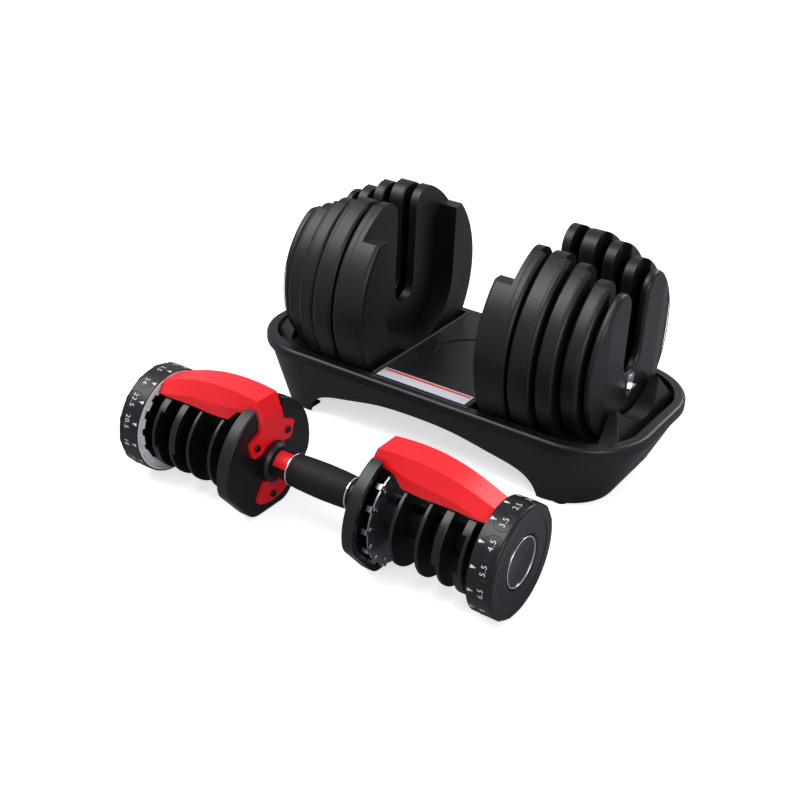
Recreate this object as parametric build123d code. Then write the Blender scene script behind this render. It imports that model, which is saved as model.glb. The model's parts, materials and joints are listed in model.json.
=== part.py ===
from build123d import *
import os
from math import cos, radians, sin, sqrt

# Adjustable dumbbell: a cradle tray with five slotted plates on each side, and a handle that
# stands on its collars in front of it. Millimetres. Origin: middle of the whole footprint, on the
# floor. +X runs along the tray, +Z is up and the handle lies towards -Y, its axis along X.

os.makedirs("parts", exist_ok=True)

# --- handle -------------------------------------------------------------------------------
handle_length = 400.0          # outer face of one dial to the outer face of the other
handle_offset_x = 9.0          # where the handle stands, seen from the middle of the tray
handle_stand_off = 256.0       # tray's centre line to the handle's axis
shaft_radius = 8.0             # steel rod that carries both selector rotors
shaft_clearance = 0.05         # running fit of the rotors on the rod
grip_tube_radius = 12.0
grip_tube_wall = 3.0
grip_radius = 15.0             # at the ends of the grip
grip_crown = 1.2               # how much fatter the grip is in the middle
grip_half_length = 31.5
grip_ring_width = 1.6
neck_radius = 13.2

# --- collars ------------------------------------------------------------------------------
collar_radius = 59.0
collar_inner_face = 61.0       # face towards the hand
collar_width = 12.0
collar_web = 4.0               # thickness of the disc behind the hollow side
collar_rim_wall = 5.0
collar_flat = 52.8             # axis to the flat that the handle stands on
collar_corner_round = 20.0     # rounding where two flats meet
collar_edge_round = 2.2        # round its face towards the hand
collar_rib_count = 30
collar_rib_width = 1.6
hub_radius = 19.0              # raised boss round the neck
hub_height = 11.0

# --- red brackets -------------------------------------------------------------------------
bracket_foot_thickness = 3.0
bracket_half_width = 17.0      # where the beam passes through the notch in the collar
bracket_fit = 0.5              # gap between the beam and what it passes
screw_shank_radius = 2.0
screw_head_radius = 3.6
screw_head_height = 1.8

# --- selector rotors ----------------------------------------------------------------------
selector_radius = 41.5
selector_web = 3.5
selector_flange_wall = 5.5     # radial width of the pick-up flange
selector_flange_depth = 4.0    # how far the flange stands towards the plate it picks up
selector_hub_radius = 16.0
index_disc_radius = 46.5
index_disc_thickness = 1.6
index_tab_reach = 48.8         # outside radius of the bent tabs
index_tab_width = 5.0
index_tab_length = 4.2
dial_radius = 50.5
dial_width = 23.2
dial_edge_round = 2.6
dial_rim_wall = 1.3            # thin edge of the dial round the white ring
dial_web = 6.0
dial_step_radius = 41.0        # faint step in the dial's end face
white_ring_depth = 7.4
cap_radius = 21.6
cap_ring_wall = 1.5
cap_ring_gap = 1.6             # dark groove round the bright ring
cap_dish = 1.8                 # depth of the hollow in the cap's face
setting_count = 15             # weights that can be dialled, one every 24 degrees

# --- lock pins ----------------------------------------------------------------------------
lock_pin_radius = 2.0
lock_pin_clearance = 0.06
lock_pin_height = 46.4         # above the handle's axis
lock_travel = 3.4

# --- plates -------------------------------------------------------------------------------
dock_height = 128.0            # handle axis when it is seated in the tray, and plate centre
plate_radii = (106.0, 105.5, 100.5, 91.3, 84.6)        # innermost to outermost
plate_thicknesses = (34.5, 22.7, 18.3, 18.3, 9.5)
plate_gap = 2.5
stack_start = 62.5             # inner face of the innermost plate
slot_clearance = 0.9           # each side of the rotor's hub in the slot
lobe_round = 19.0
plate_edge_round = 3.8
cheek_edge_round = 5.0
channel_clearance = 1.7        # round a selector disc in its channel
channel_depth_outer = 6.0
channel_depth_inner = 1.5
collar_recess_depth = 20.0
collar_recess_clearance = 3.2
cheek_height = 72.0            # top of the innermost plate's thick cheeks, above its centre
facet_start = 57.0             # half width of the flat band on the outermost face
facet_drop = 3.5
clip_width = 14.0
clip_thickness = 1.0
clip_lip = 4.2

# --- tray ---------------------------------------------------------------------------------
tray_length = 436.0
tray_width = 206.0
tray_corner = 70.0
foot_length = 376.0
foot_width = 178.0
foot_corner = 50.0
rim_height = 72.0
rim_band = 11.0                # height of the lip round the top
rim_overhang = 2.5
rim_width = 11.0
end_floor_height = 62.0        # sunk floor round the plates
deck_height = 73.0
deck_half_length = 57.0
deck_ridge_width = 3.0
deck_ridge_height = 1.2
deck_dish_depth = 0.9          # shallow oval in the middle of the deck
deck_dish_half_length = 36.0
deck_dish_half_width = 40.0
tray_wall = 3.0
arch_half_length = 135.0
arch_height = 43.5
well_clearance = 0.7           # between a plate and its trough
well_wall = 2.8
well_web = 0.8                 # thin wall between two troughs
well_end_web = 14.0            # how far the outermost wall reaches in
saddle_start = 179.5
saddle_thickness = 7.5         # at the top
saddle_base_thickness = 22.0
saddle_clearance = 7.0
saddle_top_half_width = 45.0
saddle_base_half_width = 66.0
label_length = 102.0
label_width = 17.8
label_thickness = 0.4
pad_radius = 8.0
pad_thickness = 1.5

sides = (("left", -1), ("right", 1))
half = handle_length / 2
handle_height = collar_flat
tray_y = (handle_stand_off + collar_radius - tray_width / 2) / 2
handle_y = tray_y - handle_stand_off
setting_angle = 360 / setting_count
collar_outer_face = collar_inner_face + collar_width
slot_radius = selector_hub_radius + slot_clearance
bore_radius = shaft_radius + shaft_clearance
dial_inner_face = half - dial_width
channel_radius = selector_radius + channel_clearance

plate_inner = []
for number in range(5):
    start = stack_start if number == 0 else plate_outer[-1] + plate_gap
    plate_inner.append(start)
    plate_outer = [a + t for a, t in zip(plate_inner, plate_thicknesses)]


def at_side(solid, side):
    return solid if side > 0 else mirror(solid, about=Plane.YZ)


def across(x):
    """Sketch plane square to X: sketch x is Y, sketch y is Z."""
    return Plane(origin=(x, 0, 0), x_dir=(0, 1, 0), z_dir=(1, 0, 0))


def tube(outer, inner, start, end):
    ring = Circle(outer) - Circle(inner) if inner else Circle(outer)
    return extrude(across(start) * ring, amount=end - start)


def wedge(angle_from_top, half_angle, reach):
    """Triangle from the axis that covers half_angle each side of an angle counted from the top."""
    points = [(0, 0)]
    for turn in (-half_angle, half_angle):
        a = radians(angle_from_top + turn)
        points.append((reach * sin(a), reach * cos(a)))
    return make_face(Polyline(*points, close=True))


def place_handle(solid):
    return Pos(handle_offset_x, handle_y, handle_height) * solid


def place_tray(solid):
    return Pos(0, tray_y, 0) * solid


def save(solid, name):
    solid.label = name
    export_step(solid, f"parts/{name}.step")


# ------------------------------------------------------------------------------------------
# plates
# ------------------------------------------------------------------------------------------
def plate_outline(radius):
    slot = Pos(0, radius / 2 + 5) * Rectangle(2 * slot_radius, radius + 10)
    outline = Circle(radius) - slot - Circle(slot_radius)
    tops = outline.vertices().filter_by(lambda v: v.Y > 0.5 * radius)
    return fillet(tops, lobe_round)


def channel(half_width, radius, start, depth):
    """Parallel-sided channel, open at the top and round below the axis."""
    shape = Circle(half_width) + Pos(0, radius / 2 + 5) * Rectangle(2 * half_width, radius + 10)
    return extrude(across(start) * shape, amount=depth)


def plate(number):
    radius, start, end = plate_radii[number], plate_inner[number], plate_outer[number]
    body = extrude(across(start) * plate_outline(radius), amount=end - start)
    inner_round = cheek_edge_round if number == 0 else plate_edge_round
    body = fillet(body.faces().sort_by(Axis.X)[-1].edges(), plate_edge_round)
    body = fillet(body.faces().sort_by(Axis.X)[0].edges(), inner_round)
    if number == 0:
        recess = collar_radius + collar_recess_clearance
        body -= channel(recess, radius, start, collar_recess_depth)
        cheek_top = Pos(start + collar_recess_depth / 2, 0, cheek_height + radius / 2)
        body -= cheek_top * Box(collar_recess_depth, 2 * radius + 2, radius)
    else:
        body -= channel(channel_radius, radius, start, channel_depth_inner)
    if number < 4:
        body -= channel(channel_radius, radius, end - channel_depth_outer, channel_depth_outer)
    else:
        reach = radius + 1 - facet_start
        for way in (-1, 1):
            slope = [(end, way * facet_start), (end + 5, way * facet_start), (end + 5, way * (radius + 1)),
                     (end - facet_drop, way * (facet_start + reach))]
            body -= extrude(make_face(Polyline(*slope, close=True)), amount=radius + 1, both=True)
    return Pos(0, 0, dock_height) * body


def clip(number):
    """Bent steel catch under the slot, with the screw that holds it."""
    face = plate_outer[number] - (channel_depth_outer if number < 4 else 0)
    top, bottom = -slot_radius - 0.8, 1.5 - channel_radius
    lip_top = bottom + 9.5
    tongue = RectangleRounded(clip_width, top - bottom, 5.0)
    solid = extrude(across(face) * Pos(0, (top + bottom) / 2) * tongue, amount=clip_thickness)
    lip = Rectangle(clip_width, 2.0)
    solid += extrude(across(face) * Pos(0, lip_top) * lip, amount=clip_lip)
    head = Circle(3.0) - RectangleRounded(3.6, 0.8, 0.3)
    solid += extrude(across(face) * Pos(0, top - 5.0) * head, amount=2.4)
    return Pos(0, 0, dock_height) * solid


for number in range(5):
    for side_name, side in sides:
        save(place_tray(at_side(plate(number), side)), f"plate_{side_name}_{number + 1}")
        save(place_tray(at_side(clip(number), side)), f"plate_clip_{side_name}_{number + 1}")


# ------------------------------------------------------------------------------------------
# tray
# ------------------------------------------------------------------------------------------
skirt_bottom = pad_thickness
skirt_top = rim_height - rim_band


def skirt(inset, bottom, top):
    """Drafted body between the foot outline and the rim, shrunk by inset."""
    low = Pos(0, 0, bottom) * RectangleRounded(
        foot_length - 2 * inset, foot_width - 2 * inset, foot_corner - inset)
    high = Pos(0, 0, top) * RectangleRounded(
        tray_length - 2 * rim_overhang - 2 * inset, tray_width - 2 * rim_overhang - 2 * inset,
        tray_corner - inset)
    return loft([low, high])


def trough_half_width(number, height):
    reach = plate_radii[number] + well_clearance + well_wall
    drop = dock_height - height
    return sqrt(reach**2 - drop**2)


def trough_span(number):
    """Start and end of the trough of one plate along X."""
    gap = plate_gap / 2
    return plate_inner[number] - gap, plate_outer[number] + gap


def end_pocket():
    """Sunk floor at one end of the tray, inside the rim."""
    inset = rim_width
    outline = RectangleRounded(tray_length - 2 * inset, tray_width - 2 * inset, tray_corner - inset)
    room = extrude(Pos(0, 0, end_floor_height) * outline, amount=40)
    keep_side = Pos(deck_half_length + tray_length / 2, 0, end_floor_height + 20)
    return room & (keep_side * Box(tray_length, tray_width, 40))


def saddle():
    """Upright at the end of the tray with a hollow top that the dial drops into."""
    base = end_floor_height - 1
    arc_radius = dial_radius + saddle_clearance
    peak = dock_height - sqrt(arc_radius**2 - saddle_top_half_width**2)
    foot = Pos(saddle_start + saddle_base_thickness / 2, 0, base)
    foot *= Rectangle(saddle_base_thickness, 2 * saddle_base_half_width)
    top = Pos(saddle_start + saddle_thickness / 2, 0, peak)
    top *= Rectangle(saddle_thickness, 2 * saddle_top_half_width)
    block = loft([foot, top])
    block = fillet(block.faces().sort_by(Axis.X)[-1].edges(), 2.0)
    return block - Pos(0, 0, dock_height) * tube(arc_radius, 0, 0, tray_length)


def arch():
    """Opening through the front and rear skirts between the two end feet."""
    crown = arch_height
    points = [(-arch_half_length, 0), (-0.9 * arch_half_length, 0.5 * crown),
              (-0.66 * arch_half_length, 0.74 * crown), (-0.32 * arch_half_length, 0.95 * crown),
              (0, crown)]
    points += [(-x, z) for x, z in reversed(points[:-1])]
    edge = Spline(*points)
    floor = Polyline(points[-1], (arch_half_length, -5), (-arch_half_length, -5), points[0])
    shape = make_face([edge, floor])
    return extrude(Plane.XZ * shape, amount=tray_width, both=True)


def tray_shell():
    body = skirt(0, skirt_bottom, skirt_top)
    lip_outline = RectangleRounded(tray_length, tray_width, tray_corner)
    lip = extrude(Pos(0, 0, skirt_top) * lip_outline, amount=rim_band)
    lip = fillet(lip.faces().sort_by(Axis.Z)[-1].edges(), 4.0)
    lip = fillet(lip.faces().sort_by(Axis.Z)[0].edges(), 1.5)
    body += lip
    deck = Box(2 * deck_half_length, tray_width - 2 * rim_width + 8, deck_height - rim_height + 6)
    deck = Pos(0, 0, deck_height - (deck_height - rim_height + 6) / 2) * deck
    body += fillet(deck.edges().group_by(Axis.Z)[-1], 0.9)
    dish = Ellipse(deck_dish_half_length, deck_dish_half_width)
    body -= extrude(Pos(0, 0, deck_height - deck_dish_depth) * dish, amount=10)
    ridge = Box(deck_ridge_width, tray_width - 2 * rim_width, 2 * deck_ridge_height)
    ridge = fillet(ridge.edges().filter_by(Axis.Y), deck_ridge_height * 0.6)
    for side in (-1, 1):
        body += Pos(side * (deck_half_length - deck_ridge_width / 2), 0, deck_height) * ridge
    for side in (-1, 1):
        body -= at_side(end_pocket(), side)
    # hollow underside, in two heights
    body -= skirt(tray_wall, skirt_bottom - 1, end_floor_height - tray_wall - 0.8)
    middle = RectangleRounded(2 * deck_half_length - 2 * tray_wall, tray_width - 30, 8)
    body -= extrude(middle, amount=deck_height - 3.5)
    for side in (-1, 1):
        for number in range(5):
            start, end = trough_span(number)
            width = 2 * trough_half_width(number, end_floor_height) + 0.4
            cut = Pos((start + end) / 2, 0, end_floor_height) * Box(end - start + 0.001, width, 20)
            body -= at_side(cut, side)
        body += at_side(saddle(), side)
    body -= arch()
    # turned-in flange under each foot, which carries the rubber pads
    outer = RectangleRounded(foot_length - 1, foot_width - 1, foot_corner)
    inner = RectangleRounded(foot_length - 40, foot_width - 40, foot_corner - 20)
    flange = extrude(Pos(0, 0, skirt_bottom) * (outer - inner), amount=2.5)
    clear = Box(2 * arch_half_length + 4, tray_width, 20)
    body += flange - clear
    return body


def well():
    """Stepped trough that the five plates of one side stand in."""
    drop = end_floor_height - dock_height - tray_length / 2
    below_floor = Pos(0, drop) * Rectangle(tray_length, tray_length)
    inside = [radius + well_clearance for radius in plate_radii]
    # each web reaches in to the next smaller trough, the last one a little further
    web_inside = inside[1:] + [inside[-1] - well_end_web]
    first = trough_span(0)[0]
    end_wall = Circle(inside[0] + well_wall) & below_floor
    solid = extrude(across(first) * end_wall, amount=well_web)
    for number in range(5):
        start, end = trough_span(number)
        outer = Circle(inside[number] + well_wall)
        floor = (outer - Circle(inside[number])) & below_floor
        web = (outer - Circle(web_inside[number])) & below_floor
        solid += extrude(across(start) * floor, amount=end - start)
        solid += extrude(across(end - well_web) * web, amount=well_web)
    return Pos(0, 0, dock_height) * solid


save(place_tray(tray_shell()), "tray_shell")
for side_name, side in sides:
    save(place_tray(at_side(well(), side)), f"plate_well_{side_name}")

label_y = -(tray_width / 2 - rim_width) + label_width / 2
label = Pos(0, label_y, deck_height + label_thickness / 2) * Box(label_length, label_width, label_thickness)
save(place_tray(label), "warning_label")

pad_x = arch_half_length + 20
pad_y = foot_width / 2 - 11
pads = [Pos(a * pad_x, b * pad_y, pad_thickness / 2) * Cylinder(pad_radius, pad_thickness)
        for a in (-1, 1) for b in (-1, 1)]
save(Compound(children=[place_tray(pad) for pad in pads]), "rubber_feet")


# ------------------------------------------------------------------------------------------
# handle
# ------------------------------------------------------------------------------------------
collar_pocket_floor = collar_inner_face + collar_web
foot_face = collar_inner_face - bracket_foot_thickness
index_face = collar_outer_face + 5.5           # inner face of the steel index disc
beam_lift = index_tab_reach + 3.2              # radius that the beam keeps over the tabs
beam_clear = selector_radius + 2.0             # and over the selector discs
screw_spots = [(-21.5, 22.5), (21.5, 22.5), (0, -35.0)]


def grip():
    end, mid = grip_radius, grip_radius + grip_crown
    length = grip_half_length
    top = ThreePointArc((-length, end), (0, mid), (length, end))
    rest = Polyline((length, end), (length, grip_tube_radius), (-length, grip_tube_radius), (-length, end))
    return revolve(make_face([top, rest]), Axis.X)


def collar_outline(shrink):
    """Disc with a flat to stand on and a flat each side of it, their corners rounded."""
    shape = Circle(collar_radius - shrink)
    corner = sqrt(collar_radius**2 - collar_flat**2)
    for turn in (180 - 49, 180, 180 + 49):
        block = Pos(0, collar_flat - shrink + 50) * Rectangle(4 * corner, 100)
        shape -= Rot(0, 0, -turn) * block
    corners = shape.vertices().sort_by(Axis.Y)[:4]
    return fillet(corners, collar_corner_round - shrink)


def collar():
    body = extrude(across(collar_inner_face) * collar_outline(0), amount=collar_width)
    body = fillet(body.faces().sort_by(Axis.X)[0].edges(), collar_edge_round)
    body -= extrude(across(collar_pocket_floor) * collar_outline(collar_rim_wall), amount=collar_width)
    rib_outer = collar_flat - collar_rim_wall + 0.5
    rib = Pos(collar_pocket_floor + 2.0, 0, rib_outer - 4.5) * Box(4.0, collar_rib_width, 9.0)
    for turn in range(collar_rib_count):
        angle = (turn + 0.5) * 360 / collar_rib_count
        if min(angle, 360 - angle) > 14:
            body += Rot(angle, 0, 0) * rib
    body += tube(14.0, 0, collar_pocket_floor, collar_outer_face + 3)
    hub = tube(hub_radius, 0, collar_inner_face - hub_height, collar_inner_face)
    body += chamfer(hub.faces().sort_by(Axis.X)[0].edges(), 2.5)
    body += Pos(0, 0, lock_pin_height) * tube(4.4, 0, collar_pocket_floor, collar_outer_face - 0.5)
    body -= tube(grip_tube_radius, 0, collar_inner_face - hub_height, collar_inner_face)
    body -= tube(shaft_radius, 0, collar_inner_face, collar_outer_face + 3)
    # notch that the bracket's beam passes through
    notch = Pos(collar_inner_face + collar_width / 2, 0, collar_radius)
    notch *= Box(collar_width + 2, 2 * (bracket_half_width + bracket_fit), collar_radius)
    body -= notch - tube(beam_lift - bracket_fit, 0, 0, 100)
    # guide of the lock pin, its spring chamber and the hole for its tail
    pin_line = Pos(0, 0, lock_pin_height)
    body -= pin_line * tube(lock_pin_radius + lock_pin_clearance, 0, collar_pocket_floor, collar_outer_face)
    body -= pin_line * tube(3.2, 0, collar_pocket_floor, collar_pocket_floor + 4.4)
    body -= pin_line * tube(1.4, 0, collar_inner_face, collar_pocket_floor)
    for y, z in screw_spots:
        body -= Pos(0, y, z) * tube(screw_shank_radius + 0.1, 0, collar_inner_face, collar_inner_face + 3.2)
    return body


def beam_section(x, top_half, top, shoulder_half, shoulder):
    low = 34.0
    points = [(-shoulder_half - 0.5, low), (-shoulder_half, shoulder), (-top_half, top),
              (top_half, top), (shoulder_half, shoulder), (shoulder_half + 0.5, low)]
    return across(x) * make_face(Polyline(*points, close=True))


def bracket():
    """Red beam from the hand's side of the collar, over its rim, to the dial, with its forked foot."""
    end = dial_inner_face - 0.8
    span = end - collar_outer_face
    top = collar_radius + 4.5
    width = bracket_half_width - 0.5
    bend = beam_section(foot_face + 6, 13.2, top, width - 0.2, top - 12)
    start = beam_section(foot_face, 12.5, top - 14.5, width - 1.5, top - 21)
    along = [
        bend,
        beam_section(collar_outer_face + 1, 13.2, top + 1.2, width - 0.2, top - 11),
        beam_section(collar_outer_face + 0.19 * span, 13.2, top + 2.2, width + 2.5, top - 12.5),
        beam_section(collar_outer_face + 0.52 * span, 12.6, top - 0.5, width + 3.5, top - 15.5),
        beam_section(collar_outer_face + 0.80 * span, 11.6, top - 8.0, width + 3.8, top - 20.5),
        beam_section(end, 10.6, dial_radius - 2.5, width + 3.3, dial_radius - 12),
    ]
    beam = loft([start, bend], ruled=True) + loft(along)
    under = Polyline(
        (collar_inner_face, 0), (collar_inner_face, beam_lift), (index_face + 5, beam_lift),
        (index_face + 14, beam_clear), (end + 5, beam_clear), (end + 5, 0), close=True)
    beam -= revolve(make_face(under), Axis.X)
    fork = make_face(Polyline((-14, 46), (14, 46), (13, 37.5), (31.5, 29), (27, 13), (-27, 13),
                              (-31.5, 29), (-13, 37.5), close=True))
    fork = fillet(fork.vertices().filter_by(lambda v: abs(v.X) > 20), 4.0)
    fork = fillet(fork.vertices().filter_by(lambda v: 36 < v.Y < 40), 3.0)
    fork -= Circle(hub_radius + bracket_fit)
    foot = extrude(across(foot_face) * fork, amount=bracket_foot_thickness)
    body = beam + foot
    for y, z in screw_spots[:2]:
        body -= Pos(0, y, z) * tube(screw_shank_radius + 0.1, 0, foot_face - 1, collar_inner_face + 1)
    return body


def lower_foot():
    shape = (Circle(42.0) - Circle(hub_radius + bracket_fit)) & wedge(180, 33, 80)
    shape = fillet(shape.vertices(), 3.5)
    solid = extrude(across(foot_face) * shape, amount=bracket_foot_thickness)
    y, z = screw_spots[2]
    return solid - Pos(0, y, z) * tube(screw_shank_radius + 0.1, 0, foot_face - 1, collar_inner_face + 1)


def screws():
    group = []
    for y, z in screw_spots:
        head = tube(screw_head_radius, 0, foot_face - screw_head_height, foot_face)
        head = fillet(head.faces().sort_by(Axis.X)[0].edges(), 1.0)
        head -= extrude(across(foot_face - screw_head_height) * RegularPolygon(1.5, 6), amount=1.0)
        shank = tube(screw_shank_radius, 0, foot_face, collar_inner_face + 3)
        group.append(Pos(0, y, z) * (head + shank))
    return group


def neck():
    return tube(neck_radius, grip_tube_radius, grip_half_length + grip_ring_width,
                collar_inner_face - hub_height)


def lock_pin():
    tip = collar_outer_face - 0.2
    head = tube(lock_pin_radius, 0, collar_pocket_floor + 4.5, tip)
    head = fillet(head.faces().sort_by(Axis.X)[-1].edges(), 0.6)
    tail = tube(1.3, 0, collar_inner_face + 1.2, collar_pocket_floor + 4.5)
    return Pos(0, 0, lock_pin_height) * (head + tail)


def lock_spring():
    turns, wire = 4, 0.35
    start, end = collar_pocket_floor + wire, collar_pocket_floor + 4.4 - wire
    path = Helix(pitch=(end - start) / turns, height=end - start, radius=2.3)
    profile = Plane(origin=path @ 0, z_dir=path % 0) * Circle(wire)
    coil = sweep(profile, path=path, is_frenet=True)
    return Pos(start, 0, lock_pin_height) * (Rot(0, 90, 0) * coil)


# ------------------------------------------------------------------------------------------
# selector rotors
# ------------------------------------------------------------------------------------------
# Settings, counted from the lightest, at which each plate is picked up.
picked_at = (
    (10, 11, 12, 13, 14),
    (8, 9, 12, 13, 14),
    (4, 5, 6, 7, 8, 9, 10, 11, 12, 13, 14),
    (2, 3, 6, 7, 9, 11, 13, 14),
)


def index_disc():
    body = tube(index_disc_radius, bore_radius + 0.5, index_face, index_face + index_disc_thickness)
    inner = index_tab_reach - index_disc_thickness
    arm = Box(index_disc_thickness, index_tab_width, index_tab_reach - index_disc_radius + 1)
    arm = Pos(index_face + index_disc_thickness / 2, 0, (index_tab_reach + index_disc_radius - 1) / 2) * arm
    bent = Box(index_tab_length, index_tab_width, index_tab_reach - inner)
    bent = Pos(index_face - index_tab_length / 2, 0, (index_tab_reach + inner) / 2) * bent
    mark = Circle(2.6) - Pos(0, 1.1) * Circle(2.6)
    mark = Pos(0, 42.4) * Rot(0, 0, 90) * mark
    for turn in range(setting_count):
        angle = (turn + 0.5) * setting_angle
        body += Rot(angle, 0, 0) * (arm + bent)
        pressed = extrude(across(index_face) * mark, amount=index_disc_thickness + 0.5)
        body += Rot(angle, 0, 0) * pressed
    return body


def selector_disc(number):
    edge = plate_outer[number] - 0.5
    if number == 0:
        start = index_face + index_disc_thickness
    else:
        start = plate_outer[number - 1] - 0.5 + selector_web
    disc = tube(selector_radius, 0, edge, edge + selector_web)
    disc = fillet(disc.edges().filter_by(GeomType.CIRCLE), 0.8)
    body = disc + tube(selector_hub_radius, 0, start, edge + selector_web)
    lip = Circle(selector_radius) - Circle(selector_radius - selector_flange_wall)
    sector = None
    for setting in picked_at[number]:
        # this setting's part of the disc is at the bottom when it is dialled
        part = wedge(180 + setting * setting_angle, setting_angle / 2 + 0.05, 2 * selector_radius)
        sector = part if sector is None else sector + part
    flange = across(edge - selector_flange_depth) * (lip & sector)
    body += extrude(flange, amount=selector_flange_depth + 0.5)
    return body - tube(bore_radius, 0, start, edge + selector_web)


def white_ring():
    """Nylon ring in the dial's inner face, with one tooth for each setting."""
    outer = dial_radius - dial_rim_wall
    start = dial_inner_face
    body = tube(outer, outer - 2.2, start, start + white_ring_depth)
    body += tube(outer, outer - 9.5, start + 3.2, start + white_ring_depth)
    tooth = Circle(outer - 4.0) - Circle(outer - 9.5)
    for turn in range(setting_count):
        shape = tooth & wedge(turn * setting_angle, setting_angle * 0.27, 2 * outer)
        body += extrude(across(start + 0.6) * shape, amount=2.7)
    return body


def dial():
    hub_start = plate_outer[3] - 0.5 + selector_web
    web_start = dial_inner_face + white_ring_depth
    web_end = web_start + dial_web
    edge = dial_edge_round
    recess = cap_radius + cap_ring_wall
    rim = dial_radius - dial_rim_wall
    outline = Polyline(
        (dial_inner_face, dial_radius), (dial_inner_face, rim), (web_start, rim),
        (web_start, selector_hub_radius), (hub_start, selector_hub_radius), (hub_start, bore_radius),
        (web_end, bore_radius), (web_end, recess), (half - 4.0, recess),
        (half - 4.0, recess + cap_ring_gap), (half - 1.6, recess + cap_ring_gap),
        (half - 0.9, recess + cap_ring_gap + 3), (half - 0.9, dial_step_radius - 1),
        (half - 0.3, dial_step_radius), (half, dial_radius - edge))
    crown = RadiusArc((half, dial_radius - edge), (half - edge, dial_radius), -edge)
    back = Line((half - edge, dial_radius), (dial_inner_face, dial_radius))
    return revolve(make_face([outline, crown, back]), Axis.X)


def dial_cap():
    """Dished cap over the end of the shaft."""
    start = dial_inner_face + white_ring_depth + dial_web
    face = half - 2.0
    reach = cap_radius - 1.5
    ball = (reach**2 + cap_dish**2) / (2 * cap_dish)
    return tube(cap_radius, 0, start, face) - Pos(face + ball - cap_dish, 0, 0) * Sphere(ball)


def cap_ring():
    start = dial_inner_face + white_ring_depth + dial_web
    ring = tube(cap_radius + cap_ring_wall, cap_radius, start, half - 1.0)
    return fillet(ring.faces().sort_by(Axis.X)[-1].edges(), 0.6)


save(place_handle(grip()), "grip_sleeve")
ring = tube(grip_radius + 0.5, grip_tube_radius, grip_half_length, grip_half_length + grip_ring_width)
ring = fillet(ring.edges().filter_by(GeomType.CIRCLE).sort_by(SortBy.RADIUS)[-2:], 0.5)
save(Compound(children=[place_handle(at_side(ring, side)) for _, side in sides]), "grip_rings")
save(place_handle(tube(grip_tube_radius, grip_tube_radius - grip_tube_wall, -collar_inner_face,
                       collar_inner_face)), "grip_tube")
shaft_end = dial_inner_face + white_ring_depth + dial_web - 0.5
save(place_handle(tube(shaft_radius, 0, -shaft_end, shaft_end)), "handle_shaft")

all_screws = []
for side_name, side in sides:
    fixed = {"collar": collar(), "bracket": bracket(), "lower_foot": lower_foot(), "neck": neck(),
             "lock_pin": lock_pin(), "lock_spring": lock_spring()}
    turning = {"index_disc": index_disc(), "white_ring": white_ring(), "dial": dial(),
               "dial_cap": dial_cap(), "cap_ring": cap_ring()}
    for number in range(4):
        turning[f"selector_disc_{number + 1}"] = selector_disc(number)
    for name, solid in (fixed | turning).items():
        words = name.split("_")
        tail = f"_{words.pop()}" if words[-1].isdigit() else ""
        save(place_handle(at_side(solid, side)), "_".join(words) + f"_{side_name}{tail}")
    all_screws += [place_handle(at_side(screw, side)) for screw in screws()]
save(Compound(children=all_screws), "bracket_screws")
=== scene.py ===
import bpy
import bmesh
import json
import math
from mathutils import Matrix, Vector


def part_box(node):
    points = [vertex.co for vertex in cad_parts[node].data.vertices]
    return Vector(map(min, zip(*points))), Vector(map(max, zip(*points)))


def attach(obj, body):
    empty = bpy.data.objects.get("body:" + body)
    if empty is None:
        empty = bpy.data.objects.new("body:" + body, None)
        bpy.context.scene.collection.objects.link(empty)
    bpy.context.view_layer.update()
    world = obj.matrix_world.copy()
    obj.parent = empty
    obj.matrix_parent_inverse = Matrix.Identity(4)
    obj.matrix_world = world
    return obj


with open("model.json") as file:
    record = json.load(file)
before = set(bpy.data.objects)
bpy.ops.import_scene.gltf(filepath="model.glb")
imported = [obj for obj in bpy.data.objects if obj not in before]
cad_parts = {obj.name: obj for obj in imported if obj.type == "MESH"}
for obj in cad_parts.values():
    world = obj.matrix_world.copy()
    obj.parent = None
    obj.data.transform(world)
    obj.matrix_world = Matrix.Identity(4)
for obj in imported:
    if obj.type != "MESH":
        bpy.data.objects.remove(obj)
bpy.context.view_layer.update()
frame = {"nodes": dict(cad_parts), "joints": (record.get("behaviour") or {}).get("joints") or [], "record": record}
nodes = frame["nodes"]
mm = 0.001
sides = {"left": -1, "right": 1}

# a point on the axis of the handle, and the middle of the tray
dialJoint = next(j for j in frame["joints"] if j["name"] == "dial_turn_right")
axisPoint = Vector(dialJoint["pos_m"])
trayLow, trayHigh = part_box("tray_shell")
trayCentre = (trayLow + trayHigh) / 2
print("frame loaded,", len(nodes), "nodes")


# ---- node tree helpers

def addNode(tree, kind, inputs=None, **settings):
    node = tree.nodes.new(kind)
    for key, value in settings.items():
        setattr(node, key, value)
    for key, value in (inputs or {}).items():
        if isinstance(value, bpy.types.NodeSocket):
            tree.links.new(value, node.inputs[key])
        else:
            node.inputs[key].default_value = value
    return node


def mathNode(tree, operation, a, b=0.0, clamp=False):
    return addNode(tree, "ShaderNodeMath", {0: a, 1: b}, operation=operation, use_clamp=clamp).outputs[0]


def mixColour(tree, factor, a, b, blend="MIX"):
    node = addNode(tree, "ShaderNodeMix", data_type="RGBA", blend_type=blend)
    for socket, value in ((0, factor), (6, a), (7, b)):
        if isinstance(value, bpy.types.NodeSocket):
            tree.links.new(value, node.inputs[socket])
        else:
            node.inputs[socket].default_value = value
    return node.outputs[2]


def spread(tree, value, low, high, newLow=0.0, newHigh=1.0):
    inputs = {"Value": value, "From Min": low, "From Max": high, "To Min": newLow, "To Max": newHigh}
    return addNode(tree, "ShaderNodeMapRange", inputs).outputs[0]


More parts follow.
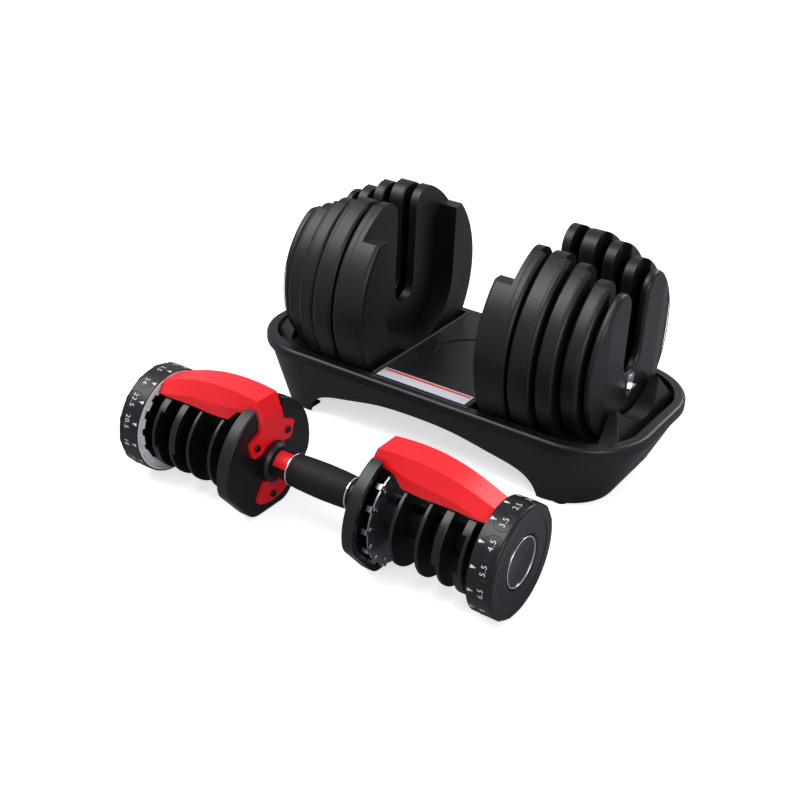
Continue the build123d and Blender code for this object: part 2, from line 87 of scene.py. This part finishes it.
def startGroup(name, inputs, outputs):
    group = bpy.data.node_groups.new(name, "ShaderNodeTree")
    for label, value in inputs.items():
        kind = "NodeSocketVector" if value is None else "NodeSocketFloat"
        socket = group.interface.new_socket(label, in_out="INPUT", socket_type=kind)
        if value is not None:
            socket.default_value = value
    for label in outputs:
        group.interface.new_socket(label, in_out="OUTPUT", socket_type="NodeSocketFloat")
    entry = group.nodes.new("NodeGroupInput")
    result = group.nodes.new("NodeGroupOutput")
    return group, entry.outputs, result.inputs


def placeGroup(tree, group, inputs):
    node = tree.nodes.new("ShaderNodeGroup")
    node.node_tree = group
    for key, value in inputs.items():
        if isinstance(value, bpy.types.NodeSocket):
            tree.links.new(value, node.inputs[key])
        else:
            node.inputs[key].default_value = value
    return node.outputs


# ---- shared effects

def buildMouldGrain():
    # spark-eroded grain of a moulding tool, with broad shifts in gloss from the flow of the plastic
    group, given, out = startGroup("mouldGrain", {"Vector": None, "Grains": 1500.0, "Flow": 14.0},
                                   ["Height", "Gloss", "Tone"])
    fine = addNode(group, "ShaderNodeTexNoise", {"Vector": given["Vector"], "Scale": given["Grains"],
                                                 "Detail": 3.0, "Roughness": 0.6})
    cells = addNode(group, "ShaderNodeTexVoronoi", {"Vector": given["Vector"], "Scale": given["Grains"]})
    flow = addNode(group, "ShaderNodeTexNoise", {"Vector": given["Vector"], "Scale": given["Flow"],
                                                 "Detail": 4.0, "Roughness": 0.55, "Distortion": 0.4})
    height = mathNode(group, "ADD", fine.outputs[0], mathNode(group, "MULTIPLY", cells.outputs[0], 0.5))
    gloss = mathNode(group, "ADD", mathNode(group, "MULTIPLY", flow.outputs[0], 0.75),
                     mathNode(group, "MULTIPLY", fine.outputs[0], 0.25))
    group.links.new(height, out["Height"])
    group.links.new(spread(group, gloss, 0.35, 0.65), out["Gloss"])
    group.links.new(spread(group, flow.outputs[0], 0.38, 0.62), out["Tone"])
    return group


def buildEdgeWear():
    # 1 along edges that hands and hard floors polish, broken up so that it isn't an outline
    group, given, out = startGroup("edgeWear", {"Vector": None, "Width": 0.0009, "Break": 60.0}, ["Mask"])
    rounded = addNode(group, "ShaderNodeBevel", {"Radius": given["Width"]}, samples=4)
    plain = addNode(group, "ShaderNodeNewGeometry")
    turn = addNode(group, "ShaderNodeVectorMath", {0: rounded.outputs[0], 1: plain.outputs["Normal"]},
                   operation="DOT_PRODUCT")
    edge = spread(group, turn.outputs["Value"], 0.995, 0.90)
    patches = addNode(group, "ShaderNodeTexNoise", {"Vector": given["Vector"], "Scale": given["Break"],
                                                    "Detail": 5.0, "Roughness": 0.7})
    broken = spread(group, patches.outputs[0], 0.42, 0.62)
    group.links.new(mathNode(group, "MULTIPLY", edge, broken, clamp=True), out["Mask"])
    return group


def buildDust():
    # dust and lint that settle on what faces up
    group, given, out = startGroup("settledDust", {"Vector": None, "Amount": 1.0}, ["Mask"])
    facing = addNode(group, "ShaderNodeSeparateXYZ",
                     {0: addNode(group, "ShaderNodeNewGeometry").outputs["Normal"]})
    up = spread(group, facing.outputs[2], 0.55, 1.0)
    lint = addNode(group, "ShaderNodeTexNoise", {"Vector": given["Vector"], "Scale": 240.0, "Detail": 6.0,
                                                 "Roughness": 0.75})
    cloud = addNode(group, "ShaderNodeTexNoise", {"Vector": given["Vector"], "Scale": 22.0, "Detail": 3.0})
    specks = mathNode(group, "MULTIPLY", spread(group, lint.outputs[0], 0.5, 0.72), cloud.outputs[0])
    mask = mathNode(group, "MULTIPLY", mathNode(group, "MULTIPLY", up, specks), given["Amount"], clamp=True)
    group.links.new(mask, out["Mask"])
    return group


def buildSpangle():
    # crystals and faint rolling streaks of zinc plating
    group, given, out = startGroup("zincSpangle", {"Vector": None, "Crystals": 260.0}, ["Tone", "Height"])
    crystals = addNode(group, "ShaderNodeTexVoronoi", {"Vector": given["Vector"],
                                                       "Scale": given["Crystals"]})
    shade = addNode(group, "ShaderNodeSeparateColor", {0: crystals.outputs["Color"]})
    stretched = addNode(group, "ShaderNodeMapping", {"Vector": given["Vector"], "Scale": (1.0, 1.0, 0.06)})
    streaks = addNode(group, "ShaderNodeTexNoise", {"Vector": stretched.outputs[0], "Scale": 900.0,
                                                    "Detail": 2.0})
    group.links.new(mathNode(group, "ADD", mathNode(group, "MULTIPLY", shade.outputs[0], 0.4),
                             mathNode(group, "MULTIPLY", streaks.outputs[0], 0.6)), out["Tone"])
    group.links.new(streaks.outputs[0], out["Height"])
    return group


mouldGrain = buildMouldGrain()
edgeWear = buildEdgeWear()
settledDust = buildDust()
zincSpangle = buildSpangle()


# what all plastics, and all metals, share
finish = {
    "dustColour": (0.32, 0.31, 0.30, 1.0), "dustMatt": 0.4, "edgePolish": 0.10, "coatRough": 0.12,
    "grainHeight": 0.12 * mm, "metalEdge": 0.4 * mm, "metalBreak": 90.0, "metalWear": 0.6,
    "bareMetal": (0.93, 0.94, 0.95, 1.0), "spangleHeight": 0.05 * mm}


def startMaterial(name, viewColour):
    material = bpy.data.materials.new(name)
    material.use_nodes = True
    material.diffuse_color = (*viewColour, 1.0)
    tree = material.node_tree
    shader = tree.nodes["Principled BSDF"]
    place = tree.nodes.new("ShaderNodeTexCoord").outputs["Object"]
    return material, tree, shader, place


def mouldedPlastic(name, look):
    material, tree, shader, place = startMaterial(name, look["colour"])
    grain = placeGroup(tree, mouldGrain, {"Vector": place, "Grains": look["grains"], "Flow": look["flow"]})
    wear = placeGroup(tree, edgeWear, {"Vector": place, "Width": look["wearWidth"]})
    dust = placeGroup(tree, settledDust, {"Vector": place, "Amount": look["dust"]})
    base = (*look["colour"], 1.0)
    flowing = mathNode(tree, "MULTIPLY", grain["Tone"], look["tone"])
    toned = mixColour(tree, flowing, base, (*look["flowColour"], 1.0))
    worn = mixColour(tree, mathNode(tree, "MULTIPLY", wear["Mask"], look["wear"]), toned,
                     (*look["wornColour"], 1.0))
    dusty = mixColour(tree, dust["Mask"], worn, finish["dustColour"])
    tree.links.new(dusty, shader.inputs["Base Color"])
    gloss = spread(tree, grain["Gloss"], 0.0, 1.0, look["rough"] - look["roughSpread"],
                   look["rough"] + look["roughSpread"])
    handled = mathNode(tree, "MULTIPLY", wear["Mask"], finish["edgePolish"])
    polished = mathNode(tree, "SUBTRACT", gloss, handled)
    dulled = mathNode(tree, "MULTIPLY", dust["Mask"], finish["dustMatt"])
    tree.links.new(mathNode(tree, "ADD", polished, dulled), shader.inputs["Roughness"])
    bump = addNode(tree, "ShaderNodeBump", {"Height": grain["Height"], "Strength": look["grainDepth"],
                                            "Distance": finish["grainHeight"]})
    tree.links.new(bump.outputs[0], shader.inputs["Normal"])
    shader.inputs["Specular IOR Level"].default_value = look["specular"]
    if look.get("coat"):
        shader.inputs["Coat Weight"].default_value = look["coat"]
        shader.inputs["Coat Roughness"].default_value = finish["coatRough"]
    return material


def metal(name, look):
    material, tree, shader, place = startMaterial(name, look["colour"])
    spangle = placeGroup(tree, zincSpangle, {"Vector": place, "Crystals": look["crystals"]})
    wear = placeGroup(tree, edgeWear, {"Vector": place, "Width": finish["metalEdge"],
                                       "Break": finish["metalBreak"]})
    tone = mixColour(tree, spangle["Tone"], (*look["dark"], 1.0), (*look["colour"], 1.0))
    rubbed = mathNode(tree, "MULTIPLY", wear["Mask"], finish["metalWear"])
    bright = mixColour(tree, rubbed, tone, finish["bareMetal"])
    tree.links.new(bright, shader.inputs["Base Color"])
    rough = spread(tree, spangle["Tone"], 0.2, 0.8, look["rough"] - 0.05, look["rough"] + 0.06)
    tree.links.new(rough, shader.inputs["Roughness"])
    bump = addNode(tree, "ShaderNodeBump", {"Height": spangle["Height"], "Strength": look["bump"],
                                            "Distance": finish["spangleHeight"]})
    tree.links.new(bump.outputs[0], shader.inputs["Normal"])
    shader.inputs["Metallic"].default_value = 1.0
    return material


blackBase = {"colour": (0.0042, 0.0042, 0.0054), "flowColour": (0.0075, 0.0075, 0.0092),
             "wornColour": (0.050, 0.050, 0.058), "grains": 1500.0, "flow": 14.0, "tone": 0.5, "wear": 0.45,
             "wearWidth": 0.0011, "dust": 0.05, "rough": 0.40, "roughSpread": 0.06, "grainDepth": 0.28,
             "specular": 0.5}
blackLooks = {
    "trayPlastic": {"rough": 0.37, "wear": 0.5, "dust": 0.06},
    "wellPlastic": {"rough": 0.45, "wear": 0.2, "dust": 0.12},
    "plateCasing": {"rough": 0.41, "flow": 9.0, "wearWidth": 0.0014, "wear": 0.55},
    "collarPlastic": {"rough": 0.38, "wear": 0.6},
    "discPlastic": {"rough": 0.30, "wear": 0.35, "dust": 0.02},
    "dialPlastic": {"rough": 0.34, "grains": 1900.0, "wear": 0.5},
    "capPlastic": {"colour": (0.016, 0.016, 0.019), "rough": 0.36, "grains": 2400.0},
    "gripRubber": {"rough": 0.62, "grains": 900.0, "grainDepth": 0.6, "wear": 0.15, "specular": 0.35},
    "footRubber": {"rough": 0.70, "grains": 700.0, "grainDepth": 0.7, "wear": 0.1, "specular": 0.3},
}
looks = {name: mouldedPlastic(name, {**blackBase, **change}) for name, change in blackLooks.items()}
looks["redPlastic"] = mouldedPlastic("redPlastic", {
    **blackBase, "colour": (0.95, 0.006, 0.011), "flowColour": (1.0, 0.010, 0.015),
    "wornColour": (1.0, 0.12, 0.10), "rough": 0.36, "roughSpread": 0.04, "grainDepth": 0.12, "wear": 0.35,
    "grains": 1800.0, "dust": 0.02, "coat": 0.15})
looks["whiteNylon"] = mouldedPlastic("whiteNylon", {
    **blackBase, "colour": (0.93, 0.92, 0.93), "flowColour": (0.89, 0.88, 0.89),
    "wornColour": (0.95, 0.95, 0.95), "rough": 0.38, "roughSpread": 0.05, "grainDepth": 0.1, "wear": 0.3})
looks["markPaint"] = mouldedPlastic("markPaint", {
    **blackBase, "colour": (0.86, 0.86, 0.86), "flowColour": (0.78, 0.78, 0.78),
    "wornColour": (0.6, 0.6, 0.6), "rough": 0.5, "grainDepth": 0.15, "wear": 0.2})
looks["labelFilm"] = mouldedPlastic("labelFilm", {
    **blackBase, "colour": (0.70, 0.70, 0.76), "flowColour": (0.64, 0.64, 0.70),
    "wornColour": (0.86, 0.86, 0.86), "rough": 0.30, "grainDepth": 0.05, "wear": 0.2, "dust": 0.1})
looks["labelInk"] = mouldedPlastic("labelInk", {
    **blackBase, "colour": (0.85, 0.075, 0.02), "flowColour": (0.78, 0.06, 0.02),
    "wornColour": (0.9, 0.3, 0.2), "rough": 0.30, "grainDepth": 0.05, "wear": 0.2, "dust": 0.1})
looks["zincSteel"] = metal("zincSteel", {"colour": (0.78, 0.80, 0.83), "dark": (0.52, 0.56, 0.60),
                                         "crystals": 420.0, "rough": 0.30, "bump": 0.15})
looks["chrome"] = metal("chrome", {"colour": (0.93, 0.93, 0.94), "dark": (0.86, 0.86, 0.88),
                                   "crystals": 90.0, "rough": 0.08, "bump": 0.02})
looks["shaftSteel"] = metal("shaftSteel", {"colour": (0.66, 0.66, 0.68), "dark": (0.50, 0.50, 0.52),
                                           "crystals": 700.0, "rough": 0.26, "bump": 0.25})
looks["blackScrew"] = metal("blackScrew", {"colour": (0.075, 0.075, 0.08), "dark": (0.03, 0.03, 0.035),
                                           "crystals": 900.0, "rough": 0.34, "bump": 0.2})
print("materials made:", len(looks))

slotLooks = {
    "tray_plastic": "trayPlastic", "well_plastic": "wellPlastic", "label": "labelFilm",
    "rubber": "footRubber", "plate_casing": "plateCasing", "zinc_steel": "zincSteel",
    "grip_rubber": "gripRubber", "chrome": "chrome", "shaft_steel": "shaftSteel",
    "collar_plastic": "collarPlastic", "red_plastic": "redPlastic", "dark_screw": "blackScrew",
    "white_nylon": "whiteNylon", "disc_plastic": "discPlastic", "dial_plastic": "dialPlastic",
    "cap_plastic": "capPlastic", "spring_steel": "zincSteel"}
for part in frame["record"]["subparts"]:
    data = nodes[part["node"]].data
    data.materials.clear()
    data.materials.append(looks[slotLooks[part["material_slot"]]])


# ---- piece helpers

def finishPiece(mesh, name, look, body, smooth=True):
    mesh.materials.clear()
    mesh.materials.append(looks[look])
    for face in mesh.polygons:
        face.use_smooth = smooth
    piece = bpy.data.objects.new(name, mesh)
    bpy.context.scene.collection.objects.link(piece)
    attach(piece, body)
    return piece


def meshFrom(bm, name):
    bmesh.ops.recalc_face_normals(bm, faces=bm.faces)
    mesh = bpy.data.meshes.new(name)
    bm.to_mesh(mesh)
    bm.free()
    return mesh


def wrapOnDial(bm, side, angleFromTop, radius, edgeX):
    # flat artwork, x to the right and y up, goes onto the dial with its top towards the hand
    for vert in bm.verts:
        turn = math.radians(angleFromTop) - side * vert.co.x / radius
        reach = radius + vert.co.z
        vert.co = Vector((axisPoint.x + side * (edgeX - vert.co.y),
                          axisPoint.y - reach * math.sin(turn),
                          axisPoint.z + reach * math.cos(turn)))


# ---- dial numbers, wedges and thumb rings

dialMarks = {
    "settings": ("2.5", "3.5", "4.5", "5.5", "6.5", "8", "9", "10", "11.5", "13.5", "16", "18", "20.5",
                 "22.5", "24"),
    "digitHeight": 5.2 * mm, "digitSpacing": 1.12, "strokeSwell": -0.05 * mm,
    "inkHeight": 0.12 * mm, "inkLift": 0.02 * mm,
    "digitMiddle": 13.6 * mm,        # from the dial's inner edge
    "wedgeStart": 1.6 * mm, "wedgeEnd": 6.4 * mm, "wedgeHalfWidth": 1.5 * mm, "wedgePoint": 0.4 * mm,
    "ringRadius": 8.4 * mm, "ringWire": 0.3 * mm, "ringSides": 40, "ringWireSides": 6,
    "capHeight": 0.72, "strokeSteps": 4}


def numberBmesh(words):
    curve = bpy.data.curves.new("digits", "FONT")
    curve.body = words
    curve.align_x = "CENTER"
    curve.align_y = "CENTER"
    curve.space_character = dialMarks["digitSpacing"]
    curve.size = dialMarks["digitHeight"] / dialMarks["capHeight"]
    curve.resolution_u = dialMarks["strokeSteps"]
    curve.offset = dialMarks["strokeSwell"]
    holder = bpy.data.objects.new("digits", curve)
    bpy.context.scene.collection.objects.link(holder)
    bpy.context.view_layer.update()
    flat = bpy.data.meshes.new_from_object(holder)
    bpy.data.objects.remove(holder)
    bpy.data.curves.remove(curve)
    bm = bmesh.new()
    bm.from_mesh(flat)
    bpy.data.meshes.remove(flat)
    bmesh.ops.remove_doubles(bm, verts=bm.verts, dist=1e-6)
    return bm


def raiseFlat(bm, height, lift):
    made = bmesh.ops.extrude_face_region(bm, geom=bm.faces[:])
    top = [v for v in made["geom"] if isinstance(v, bmesh.types.BMVert)]
    bmesh.ops.translate(bm, verts=top, vec=(0, 0, height))
    bmesh.ops.translate(bm, verts=bm.verts, vec=(0, 0, lift))


def wedgeBmesh():
    v = dialMarks
    bm = bmesh.new()
    y0, y1 = -v["wedgeStart"], -v["wedgeEnd"]
    outline = [(-v["wedgePoint"], y1, 0), (v["wedgePoint"], y1, 0), (v["wedgeHalfWidth"], y0, 0),
               (-v["wedgeHalfWidth"], y0, 0)]
    bm.faces.new([bm.verts.new(p) for p in outline])
    bmesh.ops.subdivide_edges(bm, edges=bm.edges[:], cuts=2, use_grid_fill=True)
    return bm


def joinInto(target, source):
    mesh = bpy.data.meshes.new("part")
    source.to_mesh(mesh)
    source.free()
    target.from_mesh(mesh)
    bpy.data.meshes.remove(mesh)


def ringBmesh(radius, wire, around, across):
    bm = bmesh.new()
    bmesh.ops.create_circle(bm, segments=across, radius=wire)
    bmesh.ops.rotate(bm, verts=bm.verts, matrix=Matrix.Rotation(math.pi / 2, 3, "X"))
    bmesh.ops.translate(bm, verts=bm.verts, vec=(radius, 0, 0))
    bmesh.ops.spin(bm, geom=bm.edges[:] + bm.verts[:], cent=(0, 0, 0), axis=(0, 0, 1),
                   angle=2 * math.pi, steps=around, use_merge=True)
    return bm


def makeDialMarks(sideName):
    v, side = dialMarks, sides[sideName]
    low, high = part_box("dial_" + sideName)
    radius = (high.z - low.z) / 2
    ringLow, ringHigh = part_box("white_ring_" + sideName)
    inner = abs((ringHigh.x if side < 0 else ringLow.x) - axisPoint.x)
    marks, rings = bmesh.new(), bmesh.new()
    step = 360 / len(v["settings"])
    for count, words in enumerate(v["settings"]):
        angle = count * step * side
        digits = numberBmesh(words)
        raiseFlat(digits, v["inkHeight"], v["inkLift"])
        wrapOnDial(digits, side, angle, radius, inner + v["digitMiddle"])
        joinInto(marks, digits)
        wedge = wedgeBmesh()
        raiseFlat(wedge, v["inkHeight"], v["inkLift"])
        wrapOnDial(wedge, side, angle, radius, inner)
        joinInto(marks, wedge)
        ring = ringBmesh(v["ringRadius"], v["ringWire"], v["ringSides"], v["ringWireSides"])
        wrapOnDial(ring, side, angle, radius, inner + v["digitMiddle"])
        joinInto(rings, ring)
    finishPiece(meshFrom(marks, "marks"), "dial_marks_" + sideName, "markPaint", "rotor_" + sideName,
                smooth=False)
    finishPiece(meshFrom(rings, "rings"), "dial_thumb_rings_" + sideName, "dialPlastic",
                "rotor_" + sideName)


for sideName in sides:
    makeDialMarks(sideName)
print("dial marks made")


# ---- seams of the plates' casings

plateSeam = {"width": 0.5 * mm, "height": 0.28 * mm, "fromFace": 0.75, "lobeRound": 19 * mm,
             "slotHalf": 16.9 * mm, "pastLobe": 3, "steps": 120}


def makePlateSeam(sideName, number):
    v = plateSeam
    low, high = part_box(f"plate_{sideName}_{number}")
    radius = (high.y - low.y) / 2
    middle = Vector((0, (low.y + high.y) / 2, low.z + radius))
    x = low.x + (high.x - low.x) * (v["fromFace"] if sides[sideName] > 0 else 1 - v["fromFace"])
    # the seam runs from where one lobe's rounding ends to where the other's does
    lobe = math.asin((v["slotHalf"] + v["lobeRound"]) / (radius - v["lobeRound"]))
    start = lobe + math.radians(v["pastLobe"])
    bm = bmesh.new()
    bmesh.ops.create_circle(bm, segments=6, radius=1.0)
    bmesh.ops.scale(bm, verts=bm.verts, vec=(v["width"], v["height"], 1))
    bmesh.ops.rotate(bm, verts=bm.verts, matrix=Matrix.Rotation(math.pi / 2, 3, "X"))
    bmesh.ops.translate(bm, verts=bm.verts, vec=(x, middle.y, middle.z + radius))
    bmesh.ops.rotate(bm, verts=bm.verts, cent=middle, matrix=Matrix.Rotation(start, 3, "X"))
    ends = bm.edges[:] + bm.verts[:]
    bmesh.ops.spin(bm, geom=ends, cent=middle, axis=(1, 0, 0),
                   angle=2 * math.pi - 2 * start, steps=v["steps"])
    bmesh.ops.holes_fill(bm, edges=bm.edges)
    finishPiece(meshFrom(bm, "seam"), f"plate_seam_{sideName}_{number}", "plateCasing",
                f"plate_{sideName}_{number}")


for sideName in sides:
    for number in range(1, 6):
        makePlateSeam(sideName, number)
print("plate seams made")


# ---- label print: a red band and a plain border, no words

labelPrint = {"bandWidth": 3.6 * mm, "inset": 1.5 * mm, "height": 0.06 * mm}


def makeLabelPrint():
    v = labelPrint
    low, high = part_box("warning_label")
    bm = bmesh.new()
    bmesh.ops.create_grid(bm, x_segments=1, y_segments=1, size=0.5)
    bmesh.ops.scale(bm, verts=bm.verts, vec=(high.x - low.x - 2 * v["inset"], v["bandWidth"], 1))
    centre = ((low.x + high.x) / 2, high.y - v["inset"] - v["bandWidth"] / 2, high.z)
    raiseFlat(bm, v["height"], 0)
    bmesh.ops.translate(bm, verts=bm.verts, vec=centre)
    finishPiece(meshFrom(bm, "band"), "label_band", "labelInk", "tray", smooth=False)


makeLabelPrint()


# ---- red sleeve patch on the left neck

neckPatch = {"halfAngle": 38, "towardsFront": 32, "height": 0.35 * mm, "insetFromCollar": 2.0 * mm,
             "insetFromGrip": 1.0 * mm, "steps": 20}


def makeNeckPatch():
    v = neckPatch
    low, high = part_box("neck_left")
    radius = (high.z - low.z) / 2
    bm = bmesh.new()
    x0 = low.x + v["insetFromCollar"]
    x1 = high.x - v["insetFromGrip"]
    corners = [bm.verts.new((x, axisPoint.y, axisPoint.z + r)) for x, r in
               ((x0, radius - v["height"]), (x0, radius + v["height"]), (x1, radius + v["height"]),
                (x1, radius - v["height"]))]
    profile = [bm.edges.new((corners[i], corners[(i + 1) % 4])) for i in range(4)]
    start = math.radians(v["towardsFront"] - v["halfAngle"])
    bmesh.ops.rotate(bm, verts=bm.verts, cent=axisPoint, matrix=Matrix.Rotation(start, 3, "X"))
    bmesh.ops.spin(bm, geom=profile + corners, cent=axisPoint, axis=(1, 0, 0),
                   angle=math.radians(2 * v["halfAngle"]), steps=v["steps"])
    bmesh.ops.holes_fill(bm, edges=bm.edges)
    finishPiece(meshFrom(bm, "patch"), "neck_patch", "redPlastic", "handle", smooth=False)


makeNeckPatch()
print("label and neck patch made")


# ---- stage, lights and camera

stage = {"floorSize": 30.0, "floorSeen": (0.95, 0.95, 0.95, 1), "floorBounce": (0.32, 0.32, 0.34, 1),
         "floorGlow": (0.62, 0.62, 0.62, 1), "worldSeen": (1, 1, 1, 1), "worldLight": (0.44, 0.44, 0.50, 1)}
black = (0, 0, 0, 1)


def makeStage():
    bpy.ops.mesh.primitive_plane_add(size=stage["floorSize"], location=(0, 0, 0))
    floor = bpy.context.object
    floor.name = "floor"
    material, tree, shader, place = startMaterial("floorPaper", (0.9, 0.9, 0.9))
    # the paper looks white, and throws less light back on the object than it shows
    seen = addNode(tree, "ShaderNodeLightPath").outputs["Is Camera Ray"]
    tree.links.new(mixColour(tree, seen, stage["floorBounce"], stage["floorSeen"]),
                   shader.inputs["Base Color"])
    tree.links.new(mixColour(tree, seen, black, stage["floorGlow"]), shader.inputs["Emission Color"])
    shader.inputs["Emission Strength"].default_value = 1.0
    shader.inputs["Roughness"].default_value = 0.9
    shader.inputs["Specular IOR Level"].default_value = 0.0
    floor.data.materials.append(material)
    world = bpy.data.worlds.new("studio")
    world.use_nodes = True
    tree = world.node_tree
    seen = addNode(tree, "ShaderNodeLightPath").outputs["Is Camera Ray"]
    tree.links.new(mixColour(tree, seen, stage["worldLight"], stage["worldSeen"]),
                   tree.nodes["Background"].inputs["Color"])
    bpy.context.scene.world = world


lampTarget = (0, 0, 0.08)
lamps = {
    "key": {"place": (-0.9, -0.6, 1.7), "size": 1.4, "power": 24.0},
    "fill": {"place": (1.5, -0.9, 0.9), "size": 1.2, "power": 10.0},
    "rim": {"place": (0.5, 1.6, 1.2), "size": 1.0, "power": 12.0}}


def makeLamp(name, v):
    light = bpy.data.lights.new(name, "AREA")
    light.shape = "DISK"
    light.size = v["size"]
    light.energy = v["power"]
    lamp = bpy.data.objects.new(name, light)
    bpy.context.scene.collection.objects.link(lamp)
    lamp.location = v["place"]
    aim = Vector(lampTarget) - Vector(v["place"])
    lamp.rotation_euler = aim.to_track_quat("-Z", "Y").to_euler()


viewer = {"azimuth": 32.9, "elevation": 28.6, "roll": 2.6, "distance": 1.1357, "lens": 57.63,
          "targetFromTray": (0.0378, -0.1842, 0.1133)}


def makeCamera():
    v = viewer
    azimuth, elevation = math.radians(v["azimuth"]), math.radians(v["elevation"])
    back = Vector((math.sin(azimuth) * math.cos(elevation), -math.cos(azimuth) * math.cos(elevation),
                   math.sin(elevation)))
    right = Vector((math.cos(azimuth), math.sin(azimuth), 0))
    up = back.cross(right)
    roll = math.radians(v["roll"])
    turnedRight = right * math.cos(roll) + up * math.sin(roll)
    turnedUp = up * math.cos(roll) - right * math.sin(roll)
    data = bpy.data.cameras.new("camera")
    data.lens = v["lens"]
    data.sensor_width = 36.0
    camera = bpy.data.objects.new("camera", data)
    bpy.context.scene.collection.objects.link(camera)
    target = Vector((trayCentre.x, trayCentre.y, 0)) + Vector(v["targetFromTray"])
    place = target + back * v["distance"]
    axes = Matrix((turnedRight, turnedUp, back)).transposed()
    camera.matrix_world = Matrix.Translation(place) @ axes.to_4x4()
    bpy.context.scene.camera = camera


makeStage()
for name, values in lamps.items():
    makeLamp(name, values)
makeCamera()
bpy.context.scene.view_settings.view_transform = "Standard"
print("stage, lights and camera made")
